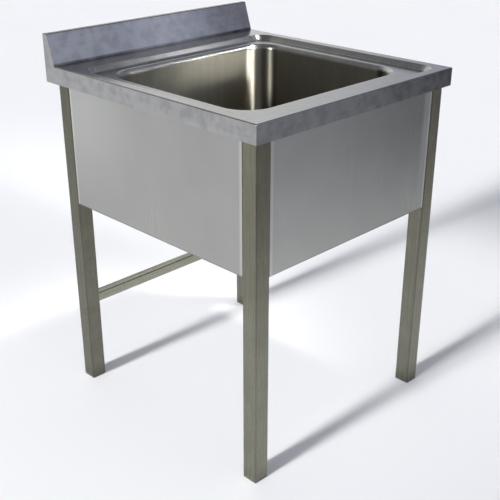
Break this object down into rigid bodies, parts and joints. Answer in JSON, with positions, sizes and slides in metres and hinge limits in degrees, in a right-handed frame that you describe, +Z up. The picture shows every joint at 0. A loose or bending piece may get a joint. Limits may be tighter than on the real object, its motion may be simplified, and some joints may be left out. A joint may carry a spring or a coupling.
{
  "type": "wash tub",
  "caption": "Free-standing stainless wash tub: deep drawn bowl in a folded top with raised rim and splashback, apron panels, square legs, low rear rail and a lift-out drain plug",
  "frame": {"origin": "on the floor, under the middle of the top", "axes": "+X to the right seen from the front, +Y towards the wall and the splashback, +Z up"},
  "size_m": [0.65, 0.7, 0.922],
  "materials": {
    "top_steel": "satin stainless sheet, brushed along its length",
    "bowl_steel": "drawn stainless, satin inside",
    "apron_steel": "satin stainless sheet",
    "tube_steel": "ground stainless tube with a mill haze",
    "plate_steel": "mill-finish plate",
    "fastener_steel": "plain stainless fasteners",
    "strainer_steel": "polished pressed stainless",
    "grey_plastic": "moulded dark grey polymer",
    "white_plastic": "moulded white polymer",
    "black_rubber": "moulded black rubber"
  },
  "bodies": {
    "tub": {"top_sheet": "top_steel", "splash_end_left": "top_steel", "splash_end_right": "top_steel", "bowl": "bowl_steel", "apron_front": "apron_steel", "apron_left": "apron_steel", "apron_right": "apron_steel", "leg_front_left": "tube_steel", "leg_front_right": "tube_steel", "leg_back_left": "tube_steel", "leg_back_right": "tube_steel", "rear_foot_rail": "tube_steel", "rear_top_rail": "tube_steel", "leg_plate_front_left": "plate_steel", "leg_plate_front_right": "plate_steel", "leg_plate_back_left": "plate_steel", "leg_plate_back_right": "plate_steel", "deck_studs": "fastener_steel", "stud_nuts": "fastener_steel", "apron_screws": "fastener_steel", "rivet_nuts": "fastener_steel", "waste_screw": "fastener_steel", "waste_strainer": "strainer_steel", "leg_plug_front_left": "grey_plastic", "leg_plug_front_right": "grey_plastic", "leg_plug_back_left": "grey_plastic", "leg_plug_back_right": "grey_plastic", "waste_body": "white_plastic", "waste_upper_seal": "black_rubber", "waste_lower_seal": "black_rubber"},
    "stopper": {"drain_plug": "black_rubber"}
  },
  "joints": [
    {"name": "plug_lift", "type": "slide", "parent": "tub", "child": "stopper", "axis": [0, 0, 1], "range_m": [0, 0.15]}
  ]
}
